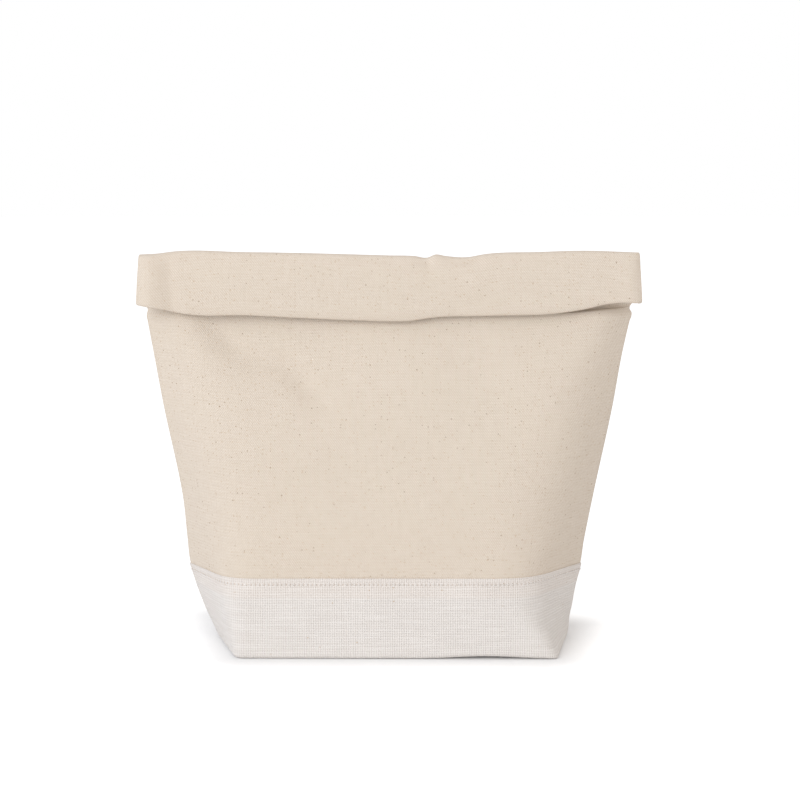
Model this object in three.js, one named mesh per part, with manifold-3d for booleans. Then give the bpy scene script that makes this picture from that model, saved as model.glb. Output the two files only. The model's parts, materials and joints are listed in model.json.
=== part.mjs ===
// Bento bag: a free-standing cloth lunch bag with a boxed base, a flat mouth turned down to the front,
// a white base cloth lapped over natural canvas, and a pale lining inside.
// Millimetres, +Z up. The front faces -Y. The origin is on the floor under the middle of the base.
//
// The walls keep one girth all the way up. At the base the girth is a rectangle. Higher up the front and
// the back close in and widen, each side narrows and pushes out to its seam, and at the fold the girth
// lies flat.

import * as THREE from "three";
import { mergeVertices } from "three/addons/utils/BufferGeometryUtils.js";
import Module from "manifold-3d";

const wasm = await Module();
wasm.setup();

// Bag, measured over the canvas
const MOUTH_WIDTH = 290; // flat, from side seam to side seam
const BASE_DEPTH = 104; // boxed base, front to back
const FOLD_HEIGHT = 219; // floor to the crease where the mouth turns down
const SHOULDER_DROP = 33; // the straight slope just under the crease, measured down
const SHOULDER_DEPTH = 25; // front to back where that slope begins
const WALL_LEAN = 0.1; // how far the walls lean in for each millimetre up, at the floor
const SIDE_SPREAD = 25; // how far a side seam stands out past the upright edges, above the boxed base
const EDGE_ROUND = 15; // soft upright edges between the front and the sides
const FLOOR_ROUND = 4; // soft edge round the floor

// Cloth
const CANVAS = 0.9;
const BASE_CLOTH = 1.0;
const LINING = 0.5;
const LAYER_GAP = 0.4; // between one layer of cloth and the next
const SEAM_GAP = 0.4; // between the two halves along the side and floor seams
const SEAM_FOLD = 0.4; // tightest bend of the lining inside a side seam
const NECK_GAP = 4.4; // air between the linings at the crease

// Base cloth
const BAND_HEIGHT = 44; // up the walls, from the floor
const LAP = 10.5; // canvas tucked behind the top of the base cloth
const STITCH_INSET = 3.6; // thread below the top of the base cloth
const THREAD = 0.6;

// Flap
const FLAP_LENGTH = 34; // outer leaf, from the crease to its lip, in the middle
const FLAP_END_LENGTH = 22; // both leaves at the side seams, where they join
const LIP_SETBACK = 7; // how much shorter the inner leaf is in the middle, so that the outer lip hides it
const LIP_CURVE = 3; // how late the lips rise towards the side seams
const TAPE_LENGTH = 110;
const TAPE_WIDTH = 16;
const TAPE = 0.9; // thickness of the hook tape and of the loop tape
const TAPE_GAP = 0.3; // on both sides of each tape
const TAPE_SET = 17; // middle of the tapes, from the crease

// Where the sections are cut, as shares of the way from the middle of the front to a side seam, and
// how many rows of them each stretch of wall has
const SECTION_CUTS = [0, 0.27, 0.53, 0.585, 0.635, 0.685, 0.735, 0.785, 0.85, 0.965, 0.985];
const FLOOR_ROWS = 3;
const BAND_ROWS = 3;
const WALL_ROWS = 7;
const FOLD_ROWS = 6;
const FLAP_ROWS = 3;

// Worked out from the sizes above
const baseHalf = BASE_DEPTH / 2;
const shoulderHeight = FOLD_HEIGHT - SHOULDER_DROP;
const shoulderHalf = SHOULDER_DEPTH / 2;
const crown = baseHalf - WALL_LEAN * shoulderHeight - shoulderHalf;
const neckHalf = NECK_GAP / 2 + LINING + LAYER_GAP + CANVAS;
const lapHeight = BAND_HEIGHT - LAP;

// Each layer is told by how far it lies outside the skeleton that all layers share.
const canvasOut = SEAM_FOLD + LINING + LAYER_GAP + CANVAS;
const canvasIn = canvasOut - CANVAS;
const liningOut = canvasIn - LAYER_GAP;
const liningIn = liningOut - LINING;
const clothIn = canvasOut + LAYER_GAP;
const clothOut = clothIn + BASE_CLOTH;

// The flap lies along the slope under the crease, with the two tapes in between. It turns about a
// line that is as far from the front panel as from the inner leaf.
const tapeSpace = 2 * TAPE + 3 * TAPE_GAP;
const slope = Math.atan2(shoulderHalf - neckHalf, SHOULDER_DROP);
const flapTurn = Math.PI - slope;
const foldAxisY = -neckHalf - tapeSpace / 2;
const foldAxisZ = FOLD_HEIGHT + (tapeSpace / 2) * Math.tan(slope / 2);

// Half the depth of the bag over the canvas, at a height above the floor.
function halfDepth(z) {
  if (z >= FOLD_HEIGHT) return neckHalf;
  if (z > shoulderHeight) {
    return THREE.MathUtils.mapLinear(z, shoulderHeight, FOLD_HEIGHT, shoulderHalf, neckHalf);
  }
  return baseHalf - WALL_LEAN * z - crown * (z / shoulderHeight) ** 2;
}

// One quarter of a section, from the middle of the front to the right side seam: a straight front, a
// soft edge, a straight side, and a tight bend at the seam.
function quarterSection(half, layer) {
  const spread = Math.min(SIDE_SPREAD, Math.sqrt(baseHalf ** 2 - half ** 2));
  const flat = MOUTH_WIDTH / 2 - Math.hypot(half, spread);
  const turn = Math.atan2(half, spread);
  const edge = new THREE.Vector2(flat - canvasOut * Math.tan(turn / 2), canvasOut - half);
  const seam = new THREE.Vector2(flat + spread - canvasOut, 0);
  const along = seam.clone().sub(edge);
  const round = Math.min(EDGE_ROUND, along.length() / 2);
  along.normalize();
  const out = new THREE.Vector2(along.y, -along.x);
  const bend = Math.atan2(along.y, along.x);
  const leave = edge.clone().addScaledVector(along, round).addScaledVector(out, layer);
  const reach = seam.clone().addScaledVector(out, layer);
  const path = new THREE.Path();
  path.moveTo(0, edge.y - layer);
  path.lineTo(edge.x - round, edge.y - layer);
  path.quadraticCurveTo(edge.x + layer * Math.tan(bend / 2), edge.y - layer, leave.x, leave.y);
  path.lineTo(reach.x, reach.y);
  path.absarc(seam.x, seam.y, layer, Math.min(bend - Math.PI / 2, 0), 0);
  return path;
}

// A whole section as a loop of points, anticlockwise seen from above.
function section(half, layer, z) {
  const path = quarterSection(half, layer);
  const quarter = [...SECTION_CUTS, 1].map((share) => path.getPoint(share));
  const seam = quarter.length - 1;
  const loop = [
    ...quarter.slice(0, seam).map((p) => [p.x, p.y]),
    ...quarter.slice(1).reverse().map((p) => [p.x, -p.y]),
    ...quarter.slice(0, seam).map((p) => [-p.x, -p.y]),
    ...quarter.slice(1).reverse().map((p) => [-p.x, p.y]),
  ];
  return loop.map(([x, y]) => new THREE.Vector3(x, y, z));
}

// A wall of cloth between rows of outer loops and rows of inner loops, from the bottom up. It is open at
// both ends, or has a floor between its lowest loops.
function shell(outer, inner, floored) {
  const count = outer[0].length;
  const index = [];
  const quad = (a, b, c, d) => index.push(a, b, c, a, c, d);
  const outside = (row, i) => row * count + (i % count);
  const inside = (row, i) => (outer.length + row) * count + (i % count);
  const top = outer.length - 1;
  const corners = (skin, row, i) => [
    skin(row, i),
    skin(row, i + 1),
    skin(row + 1, i + 1),
    skin(row + 1, i),
  ];
  for (let i = 0; i < count; i++) {
    for (let row = 0; row < top; row++) {
      quad(...corners(outside, row, i));
      const [a, b, c, d] = corners(inside, row, i);
      quad(c, b, a, d);
    }
    quad(outside(top, i), outside(top, i + 1), inside(top, i + 1), inside(top, i));
    if (!floored) quad(inside(0, i), inside(0, i + 1), outside(0, i + 1), outside(0, i));
  }
  if (floored) {
    const flat = (loop) => loop.map((p) => new THREE.Vector2(p.x, p.y));
    const under = THREE.ShapeUtils.triangulateShape(flat(outer[0]), []);
    const over = THREE.ShapeUtils.triangulateShape(flat(inner[0]), []);
    for (const [a, b, c] of under) index.push(a, c, b);
    for (const [a, b, c] of over) index.push(inside(0, a), inside(0, b), inside(0, c));
  }
  const geometry = new THREE.BufferGeometry().setFromPoints([...outer, ...inner].flat());
  geometry.setIndex(index);
  return geometry;
}

function rowsBetween(low, high, count) {
  return Array.from({ length: count + 1 }, (_, i) => low + ((high - low) * i) / count);
}

// The heights at which the walls are cut, from the floor's soft edge to the crease.
const wallHeights = [
  ...rowsBetween(FLOOR_ROUND, lapHeight, BAND_ROWS),
  ...rowsBetween(BAND_HEIGHT, shoulderHeight, WALL_ROWS),
  FOLD_HEIGHT,
];

function wallLoops(layer, low, high) {
  return wallHeights.filter((z) => z >= low && z <= high).map((z) => section(halfDepth(z), layer, z));
}

// The soft edge from a floor at the given height up into the wall, without the wall's first row.
function floorLoops(layer, floor) {
  const radius = FLOOR_ROUND - floor;
  return Array.from({ length: FLOOR_ROWS }, (_, i) => {
    const angle = (Math.PI / 2) * (i / FLOOR_ROWS);
    const z = FLOOR_ROUND - radius * Math.cos(angle);
    return section(halfDepth(z), layer - radius * (1 - Math.sin(angle)), z);
  });
}

// A pouch of one cloth with a floor, open at the top.
function pouch(outLayer, inLayer, thickness, floor, top) {
  const outer = [...floorLoops(outLayer, floor), ...wallLoops(outLayer, 0, top)];
  const inner = [...floorLoops(inLayer, floor + thickness), ...wallLoops(inLayer, 0, top)];
  return shell(outer, inner, true);
}

// The flap standing up straight above the crease, as long as given in the middle and shorter towards
// the side seams.
function flapLoops(layer, length) {
  return rowsBetween(0, 1, FLAP_ROWS).map((share) =>
    section(neckHalf, layer, foldAxisZ).map((p) => {
      const sideways = Math.abs(p.x) / (MOUTH_WIDTH / 2);
      const lip = THREE.MathUtils.lerp(length, FLAP_END_LENGTH, sideways ** LIP_CURVE);
      return p.setZ(foldAxisZ + LAYER_GAP + share * lip);
    }),
  );
}

// The cloth bent over the crease: the flat mouth swept about the fold line, from the walls to the flap.
function foldLoops(layer) {
  const axis = new THREE.Vector3(0, foldAxisY, foldAxisZ);
  const sideways = new THREE.Vector3(1, 0, 0);
  return rowsBetween(0, flapTurn, FOLD_ROWS).map((angle) =>
    section(neckHalf, layer, foldAxisZ).map((p) =>
      p.sub(axis).applyAxisAngle(sideways, angle).add(axis),
    ),
  );
}

function solidOf(geometry) {
  const bare = geometry.clone();
  bare.deleteAttribute("normal");
  bare.deleteAttribute("uv");
  const merged = mergeVertices(bare);
  return new wasm.Manifold(
    new wasm.Mesh({
      numProp: 3,
      vertProperties: merged.attributes.position.array,
      triVerts: new Uint32Array(merged.index.array),
    }),
  );
}

function geometryOf(solid) {
  const mesh = solid.getMesh();
  const geometry = new THREE.BufferGeometry();
  geometry.setAttribute("position", new THREE.BufferAttribute(mesh.vertProperties, 3));
  geometry.setIndex(new THREE.BufferAttribute(mesh.triVerts, 1));
  return geometry;
}

// The front half or the back half of a bag-shaped piece, cut along the plane of the side seams.
function halfOf(geometry, side) {
  const size = 2 * MOUTH_WIDTH + 2 * FOLD_HEIGHT;
  const box = new THREE.BoxGeometry(size, size, size);
  box.translate(0, side * (size + SEAM_GAP) / 2, 0);
  return geometryOf(solidOf(geometry).intersect(solidOf(box)));
}

const FRONT = -1;
const BACK = 1;

const canvasLook = { color: 0xe4d7c5, roughness: 0.95, metalness: 0 };
const baseClothLook = { color: 0xe6e0d9, roughness: 0.95, metalness: 0 };
const liningLook = { color: 0xe8e1d5, roughness: 0.9, metalness: 0 };
const threadLook = { color: 0xf0ebe3, roughness: 0.8, metalness: 0 };
const tapeLook = { color: 0xe9e2d6, roughness: 0.85, metalness: 0 };

function piece(name, geometry, look) {
  const mesh = new THREE.Mesh(geometry, new THREE.MeshStandardMaterial(look));
  mesh.name = name;
  return mesh;
}

function walls() {
  const canvas = shell(
    wallLoops(canvasOut, lapHeight, FOLD_HEIGHT),
    wallLoops(canvasIn, lapHeight, FOLD_HEIGHT),
  );
  return [
    piece("front_panel", halfOf(canvas, FRONT), canvasLook),
    piece("back_panel", halfOf(canvas, BACK), canvasLook),
  ];
}

function baseCloth() {
  return piece("base_cloth", pouch(clothOut, clothIn, BASE_CLOTH, 0, BAND_HEIGHT), baseClothLook);
}

function linings() {
  const bag = pouch(liningOut, liningIn, LINING, BASE_CLOTH + LAYER_GAP, FOLD_HEIGHT);
  return [
    piece("lining_front", halfOf(bag, FRONT), liningLook),
    piece("lining_back", halfOf(bag, BACK), liningLook),
  ];
}

// One row of thread that lies on the base cloth, just under its top edge.
function topstitching() {
  const high = BAND_HEIGHT - STITCH_INSET;
  const low = high - THREAD;
  const onCloth = clothOut + LAYER_GAP;
  const around = (layer) => [low, high].map((z) => section(halfDepth(z), layer, z));
  return piece("topstitching", shell(around(onCloth + THREAD), around(onCloth)), threadLook);
}

function foldPieces() {
  const bent = (outLayer, inLayer) => shell(foldLoops(outLayer), foldLoops(inLayer));
  return [
    piece("fold_canvas", bent(canvasOut, canvasIn), canvasLook),
    piece("fold_lining", bent(liningOut, liningIn), liningLook),
  ];
}

function tape(name) {
  const mesh = piece(name, new THREE.BoxGeometry(TAPE_LENGTH, TAPE, TAPE_WIDTH), tapeLook);
  mesh.position.set(0, tapeSpace / 2 - TAPE_GAP - TAPE / 2, TAPE_SET);
  return mesh;
}

// The loop tape lies on the slope of the front panel.
function loopTape() {
  const onSlope = new THREE.Group();
  onSlope.position.set(0, foldAxisY, foldAxisZ);
  onSlope.rotation.x = -slope;
  const mesh = tape("loop_tape");
  mesh.position.z *= -1;
  onSlope.add(mesh);
  return onSlope;
}

// The flap, made standing up about the fold line and then turned down to the front.
function flap() {
  const innerLength = FLAP_LENGTH - LIP_SETBACK;
  const canvas = (length) => shell(flapLoops(canvasOut, length), flapLoops(canvasIn, length));
  const lining = (length) => shell(flapLoops(liningOut, length), flapLoops(liningIn, length));
  const leaves = [
    piece("inner_leaf", halfOf(canvas(innerLength), FRONT), canvasLook),
    piece("inner_leaf_lining", halfOf(lining(innerLength), FRONT), liningLook),
    piece("outer_leaf", halfOf(canvas(FLAP_LENGTH), BACK), canvasLook),
    piece("outer_leaf_lining", halfOf(lining(FLAP_LENGTH), BACK), liningLook),
  ];
  for (const leaf of leaves) leaf.geometry.translate(0, -foldAxisY, -foldAxisZ);
  const turned = new THREE.Group();
  turned.position.set(0, foldAxisY, foldAxisZ);
  turned.rotation.x = flapTurn;
  turned.add(...leaves, tape("hook_tape"));
  return turned;
}

const bag = new THREE.Group();
bag.name = "bento_bag";
bag.add(baseCloth(), ...walls(), ...linings(), topstitching(), loopTape(), ...foldPieces(), flap());

export default bag;
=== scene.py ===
import json
import math

import bpy
import numpy as np
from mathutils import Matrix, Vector


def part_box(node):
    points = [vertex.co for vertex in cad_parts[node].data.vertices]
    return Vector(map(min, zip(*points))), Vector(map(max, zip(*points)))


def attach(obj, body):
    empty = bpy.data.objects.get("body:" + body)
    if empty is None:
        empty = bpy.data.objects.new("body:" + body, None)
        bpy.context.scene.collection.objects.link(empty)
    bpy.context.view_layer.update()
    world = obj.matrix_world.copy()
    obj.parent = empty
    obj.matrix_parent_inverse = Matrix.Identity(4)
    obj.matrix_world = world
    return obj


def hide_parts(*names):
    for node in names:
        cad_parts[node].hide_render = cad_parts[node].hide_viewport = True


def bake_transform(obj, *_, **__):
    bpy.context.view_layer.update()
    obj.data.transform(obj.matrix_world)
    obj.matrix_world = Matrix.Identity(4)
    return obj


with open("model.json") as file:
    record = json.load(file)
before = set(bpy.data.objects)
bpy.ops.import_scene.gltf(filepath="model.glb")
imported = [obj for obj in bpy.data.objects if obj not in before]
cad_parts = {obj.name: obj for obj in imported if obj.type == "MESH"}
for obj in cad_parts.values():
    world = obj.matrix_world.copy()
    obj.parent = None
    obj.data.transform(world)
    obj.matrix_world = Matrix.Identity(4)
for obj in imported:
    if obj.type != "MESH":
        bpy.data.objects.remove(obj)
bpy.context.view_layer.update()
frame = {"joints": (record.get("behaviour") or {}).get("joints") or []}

# Canvas: two lengths of natural cotton twill, front and back, sewn to each other along the side seams. Each
# runs up from behind the base cloth, bends over at the fold and ends in a leaf of the flap. The cloth keeps
# one girth all the way: as the front and the back close in, each side pushes out to its seam.
MM = 0.001
FRONT, BACK = -1, 1
joints = {joint["name"]: joint for joint in frame["joints"]}
FOLD_Y, FOLD_Z = joints["flap_fold"]["pos_m"][1:]
FLAP_TURN = math.radians(joints["flap_fold"]["range_deg"][1])
FLAP_LEAN = math.pi - FLAP_TURN  # from upright, where the leaves leave the fold
LAP_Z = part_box("front_panel")[0].z  # the canvas starts here, behind the base cloth
CANVAS_THICK = 1.0 * MM
SEAM_HALF = 0.7 * MM  # half the thickness at the side seams, by the mouth
SEAM_TIGHT = 0.12 * MM  # the same lower down, where the seams lie flat
SEAM_TIGHT_Z, SEAM_HALF_Z = 90 * MM, 150 * MM  # the heights between which one goes over into the other

# Heights above the floor, each with a place, in millimetres: the side seams seen from the front, the
# depth of the walls by the left and the right upright edge, how far the seams stand out past those edges,
# and how softly the edges bend.
SEAM_LEFT = [(0, -104), (18, -112), (45, -120.5), (86, -125.4), (140, -135.9), (170, -141), (188, -144.1),
             (192.8, -144.8), (194.8, -144.1), (198.6, -145.3), (219.4, -148.3)]
SEAM_RIGHT = [(0, 102), (45, 110), (86, 117.8), (140, 128.6), (170, 133.6), (188, 137.4),
              (194, 138.7), (196, 137.5), (199.6, 139.1), (219.4, 142.4)]
DEPTH_UPPER = [(86, 40), (112, 34), (140, 26.4), (160, 20.6), (186, 12.5), (212, 5.8), (219.4, 4)]
DEPTH_LEFT = [(0, 52), (45, 47.2), *DEPTH_UPPER]
DEPTH_RIGHT = [(0, 53.9), (12, 52.6), (45, 47.6), *DEPTH_UPPER]
SPREAD_LEFT = [(0, 13), (9, 16.5), (32, 23), (45, 25), (86, 26), (140, 26), (165, 24), (190, 18), (212, 11),
               (219.4, 6)]
SPREAD_RIGHT = [(0, 8), (17, 21), (30, 30), (42, 32), (60, 30), (86, 28), (140, 26), (165, 22), (190, 16),
                (212, 11), (219.4, 6)]
SOFT_LEFT = [(0, 6), (20, 12), (45, 22), (86, 34), (140, 30), (190, 13), (212, 8), (219.4, 5)]
SOFT_RIGHT = [(0, 5), (20, 14), (45, 28), (86, 40), (140, 32), (190, 14), (212, 8), (219.4, 5)]


def curve(stops, at):
    """A smooth line through a few stops, each a place and a value in millimetres."""
    places, values = np.array(stops, float).T * MM
    slopes = np.gradient(values, places)
    i = np.clip(np.searchsorted(places, at) - 1, 0, len(places) - 2)
    step = places[i + 1] - places[i]
    s = np.clip((at - places[i]) / step, 0, 1)
    ends = values[i] * (1 + 2 * s) * (1 - s) ** 2 + values[i + 1] * (3 - 2 * s) * s**2
    return ends + step * (slopes[i] * s * (1 - s) ** 2 - slopes[i + 1] * (1 - s) * s**2)


HALF_MOUTH = (curve(SEAM_RIGHT, FOLD_Z) - curve(SEAM_LEFT, FOLD_Z)) / 2


def ease(low, high, at):
    """0 at low and before it, 1 at high and past it, and a smooth step in between."""
    s = np.clip((at - low) / (high - low), 0, 1)
    return s * s * (3 - 2 * s)


def bend(at, soft):
    """0 before a bend and the way past it after, rounded over soft on both sides."""
    s = np.clip((at + soft) / (2 * soft), 0, 1)
    return np.where(at > soft, at, 2 * soft * (s**3 - s**4 / 2))


def wall(side, across, height):
    """Points on the outer face of a wall. Across runs from -1 at the left seam to 1 at the right one."""
    left, right = curve(SEAM_LEFT, height), curve(SEAM_RIGHT, height)
    deep_left, deep_right = curve(DEPTH_LEFT, height), curve(DEPTH_RIGHT, height)
    out_left, out_right = curve(SPREAD_LEFT, height), curve(SPREAD_RIGHT, height)
    side_left, side_right = np.hypot(out_left, deep_left), np.hypot(out_right, deep_right)
    flat_x, flat_y = right - out_right - left - out_left, deep_right - deep_left
    flat = np.hypot(flat_x, flat_y)
    along = (across + 1) / 2 * (side_left + flat + side_right)
    first = bend(along - side_left, curve(SOFT_LEFT, height))
    second = bend(along - side_left - flat, curve(SOFT_RIGHT, height))
    run = [out_left / side_left, flat_x / flat, out_right / side_right]
    rise = [deep_left / side_left, flat_y / flat, -deep_right / side_right]
    x = left + run[0] * along + (run[1] - run[0]) * first + (run[2] - run[1]) * second
    y = rise[0] * along + (rise[1] - rise[0]) * first + (rise[2] - rise[1]) * second
    seam = SEAM_TIGHT + (SEAM_HALF - SEAM_TIGHT) * ease(SEAM_TIGHT_Z, SEAM_HALF_Z, height)
    return np.stack([x, side * np.hypot(y, seam), height + 0 * x], axis=-1)


def normals(face, loop=False):
    """Outward directions of a face whose rows run to the right, seen from outside, and stack upwards."""
    over = np.roll(face, -1, axis=1) - np.roll(face, 1, axis=1) if loop else np.gradient(face, axis=1)
    out = np.cross(over, np.gradient(face, axis=0))
    return out / np.maximum(np.linalg.norm(out, axis=-1, keepdims=True), 1e-12)


# Soft hollows in the walls: place across and up, reach along and across, all in millimetres, tilt in degrees,
# depth. Slow waves go over the walls too, and die out towards the base cloth, the fold and the side seams.
HOLLOWS = {
    FRONT: [(-97, 178, 18, 8, -42, 3.0), (-75, 167, 18, 8, -16, 2.8), (-52, 155, 20, 8, -46, 3.6),
            (-83, 184, 36, 17, -34, 2.2), (-41, 166, 30, 17, -46, 2.2), (-20, 100, 50, 24, -70, 0.9),
            (45, 150, 40, 22, 62, 0.8)],
    BACK: [(50, 150, 50, 20, 50, 1.8), (-40, 110, 60, 24, 70, 1.2), (80, 90, 40, 16, -62, 0.9)],
}
WAVE_HIGH, WAVE_LONG, WAVE_SEED = 0.5 * MM, 70 * MM, 3
WAVE_NONE, WAVE_FULL = 12 * MM, 40 * MM  # heights over the lap
WAVE_END = 0.8  # share of the way to a side seam


def hollowed(face, side, hollows):
    """The face of a wall with soft hollows pressed straight back into it."""
    depth = np.zeros(face.shape[:2])
    for x, z, along, over, tilt, deep in hollows:
        turn = math.radians(tilt)
        dx, dz = face[..., 0] - x * MM, face[..., 2] - z * MM
        far = (dx * math.cos(turn) + dz * math.sin(turn)) / (along * MM)
        near = (dz * math.cos(turn) - dx * math.sin(turn)) / (over * MM)
        depth += deep * MM * np.exp(-(far**2) - near**2)
    face[..., 1] -= side * depth
    return face


def ripple(across, up, size, seed):
    """Slow uneven waves over a cloth, size long and between about -1 and 1: six trains of waves, each with
    a direction, a start and a stretch of its own."""
    draw = np.random.default_rng(seed)
    turns, shifts, stretches = draw.uniform(0, 6.3, 6), draw.uniform(0, 6.3, 6), draw.uniform(0.6, 1.5, 6)
    total = np.zeros(np.broadcast(across, up).shape)
    for turn, shift, stretch in zip(turns, shifts, stretches):
        way = across * math.cos(turn) + up * math.sin(turn)
        total += np.sin(6.28 * way * stretch / size + shift)
    return total / 3


# The shoulder crease under the two ends of the flap: how it rises across the bag, in millimetres, how far the
# cloth above it steps back, and the low ridge just under it.
CREASE_Z = 194.2 * MM
CREASE_LIFT = [(-148, 2.3), (-126, 2.4), (-108, 1.4), (-80, 0), (-50, 0), (50, 0), (105, 0.4), (122, 2.0),
               (142, 2.7)]
CREASE_REACH = 12 * MM  # the wall this far from it is lifted too
CREASE_DEEP = 2.8 * MM
CREASE_FROM, CREASE_FULL = 0.66, 0.86  # shares of the way from the middle to a side seam
CREASE_SLACK = 6 * MM  # where the wall is less deep than this, so is the crease
STEP_LOW, STEP_HIGH = 0.2 * MM, 0.5 * MM  # the step back, from under the line to over it
RIDGE_HIGH, RIDGE_DOWN, RIDGE_REACH = 0.8 * MM, 3 * MM, 3.5 * MM
CREASE_ROWS = np.array([-1.6, -0.7, -0.1, 0.15, 0.2, 0.3, 0.7, 1.6]) * MM  # close rows of points along it
ROW_CLEAR = 1.5 * MM  # from these to the wider rows
SEAM_GROOVE, SEAM_REACH = 0.7 * MM, 1.6 * MM  # how far a side seam is drawn in, and how near to it
GROOVE_LOW, GROOVE_FULL = 45 * MM, 60 * MM  # the heights between which that begins
BODY_ROWS, NECK_ROWS = 84, 16


def panel_part(side, across):
    """A wall of canvas, with its hollows, slow waves, side seams and shoulder crease."""
    crease = CREASE_Z + CREASE_ROWS
    lower = np.linspace(LAP_Z, crease[0] - ROW_CLEAR, BODY_ROWS)
    upper = np.linspace(crease[-1] + ROW_CLEAR, FOLD_Z, NECK_ROWS)
    height = np.concatenate([lower, crease, upper])[:, None]
    lift = curve(CREASE_LIFT, across * HALF_MOUTH) * (side == FRONT)
    raised = height + lift * np.exp(-(((height - CREASE_Z) / CREASE_REACH) ** 2))
    face = hollowed(wall(side, across, raised), side, HOLLOWS[side])
    calm = ease(1, WAVE_END, np.abs(across)) * ease(FOLD_Z, FOLD_Z - WAVE_FULL, height)
    calm = calm * ease(LAP_Z + WAVE_NONE, LAP_Z + WAVE_FULL, height)
    waves = WAVE_HIGH * ripple(face[..., 0], face[..., 2], WAVE_LONG, WAVE_SEED + side) * calm
    ends = ease(CREASE_FROM, CREASE_FULL, np.abs(across)) * (side == FRONT)
    ridge = RIDGE_HIGH * np.exp(-(((height - CREASE_Z + RIDGE_DOWN) / RIDGE_REACH) ** 2))
    ledge = ease(CREASE_Z - STEP_LOW, CREASE_Z + STEP_HIGH, height) * ease(FOLD_Z, CREASE_Z, height)
    slack = np.minimum(1, np.abs(face[..., 1]) / CREASE_SLACK)
    face[..., 1] += side * (waves + ends * slack * (ridge - CREASE_DEEP * ledge))
    seam = SEAM_GROOVE * np.exp(-(((1 - np.abs(across)) * HALF_MOUTH / SEAM_REACH) ** 2))
    seam = seam * ease(GROOVE_LOW, GROOVE_FULL, height)
    face[..., 0] -= np.sign(face[..., 0]) * seam
    return face


# The fold: how its crest sags at places across, in millimetres. The crest is squarer to the front and rounded
# at its two corners. Where along the bend, and how wide, is in radians.
CREST_SAG = [(-148, -0.7), (-135, 0.1), (-130, 0.8), (-86, 0.7), (-55, 0.2), (-3, -1.2), (12, -1.6),
             (19, -2.5), (24, -0.6), (29, -1.4), (42, -2.2), (52, -0.5), (84, 0.8), (108, 1.5), (142, 0.5)]
SAG_IN, SAG_OUT = 0.7, 0.5  # radians of the bend over which the sag comes and goes
CREST_SQUARE, SQUARE_AT, SQUARE_WIDE = 1.6 * MM, 2.16, 0.25
FLAP_CORNER, CORNER_AT, CORNER_WIDE = 0.9 * MM, 1.8, 0.6
CORNER_FROM = 0.985  # share of the way to a side seam
SEWN_FROM, SEWN_FOLD, SEWN_LEAF = 0.86, 0.97, 0.96  # such shares, where the front cloth joins the back one
FOLD_ROWS = 26


def fold_part(side, start, across):
    """The canvas round the fold, from the top of a wall. The front length bends inside the back one."""
    turn = np.linspace(0, FLAP_TURN, FOLD_ROWS + 1)[1:, None]
    radius = (start[:, 1] - FOLD_Y)[None, :]
    outer = (np.abs(start[:, 1]) - FOLD_Y)[None, :]
    level = curve(CREST_SAG, start[:, 0])[None, :] + outer.max() - outer
    level = level * ease(0, SAG_IN, turn) * ease(FLAP_TURN, FLAP_TURN - SAG_OUT, turn)
    if side == BACK:
        radius = radius + CREST_SQUARE * np.exp(-(((turn - SQUARE_AT) / SQUARE_WIDE) ** 2))
    else:
        level = level * ease(SEWN_FROM, SEWN_FOLD, np.abs(across))
    y, z = FOLD_Y + radius * np.cos(turn), FOLD_Z + radius * np.sin(turn) + level
    corner = FLAP_CORNER * np.exp(-(((turn - CORNER_AT) / CORNER_WIDE) ** 2))
    corner = corner * ease(CORNER_FROM, 1, np.abs(across))
    return np.stack(np.broadcast_arrays(start[None, :, 0] - np.sign(across) * corner, y, z), axis=-1)


# The two leaves of the flap: the height of the outer lip at places across, in millimetres, how the leaves
# lean, and the turned edge of the lip, which curls in a little. The inner leaf is shorter between the seams.
OUTER_LIP = [(-148, 199.9), (-136, 197.9), (-122, 194.7), (-85, 193.7), (-50, 192), (-19, 190.7), (0, 190.2),
             (8, 190.4), (22, 192.4), (52, 193.4), (98, 195.4), (112, 197.8), (120, 199.8), (127, 200.8),
             (142, 200.7)]
LEAF_LENGTH, LEAF_TRIES = 36 * MM, 6  # a first length of the leaves, and how often it is corrected
LEAN_MIDDLE, LEAN_END = math.radians(3), math.radians(5)
LEAN_FROM, LEAN_BY = 0.55, 0.4  # shares of the way to a side seam and of the way down
LIP_ROLL, LIP_TURN = 3.6 * MM, math.radians(125)
LIP_CURL = math.radians(36)
CURL_FROM, CURL_FULL, CURL_END = 0.72, 0.98, 0.8  # shares of the way down, and of the way to a side seam
LIP_FLARE, FLARE_FROM = 1.2 * MM, 0.8  # the lip is wider than the crest at both ends
INNER_SHORTER, INNER_END = 7 * MM, 0.82
LEAF_ROWS, ROLL_ROWS = 26, 9


def leaf_path(root, length, lean_end, curl):
    """A leaf of the given lengths down from the root, leaning less and less, with a rolled lip."""
    down = np.linspace(0, 1, LEAF_ROWS + 1)[:, None] * (length - LIP_ROLL)
    roll = length - np.linspace(LIP_ROLL, 0, ROLL_ROWS + 1)[1:, None]
    way = np.concatenate([down, roll])
    lean = FLAP_LEAN + (lean_end - FLAP_LEAN) * ease(0, LEAN_BY, way / length)
    lean = lean - curl * ease(CURL_FROM, CURL_FULL, way / length)
    lean = lean - LIP_TURN * np.clip((way - length + LIP_ROLL) / LIP_ROLL, 0, 1)
    middle, step = (lean[1:] + lean[:-1]) / 2, np.diff(way, axis=0)
    y = root[:, 1] - np.cumsum(np.sin(middle) * step, axis=0)
    z = root[:, 2] - np.cumsum(np.cos(middle) * step, axis=0)
    flare = LIP_FLARE * ease(FLARE_FROM * HALF_MOUTH, HALF_MOUTH, np.abs(root[:, 0])) * way[1:] / length
    return np.stack([root[:, 0] + np.sign(root[:, 0]) * flare, y, z], axis=-1)


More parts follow.
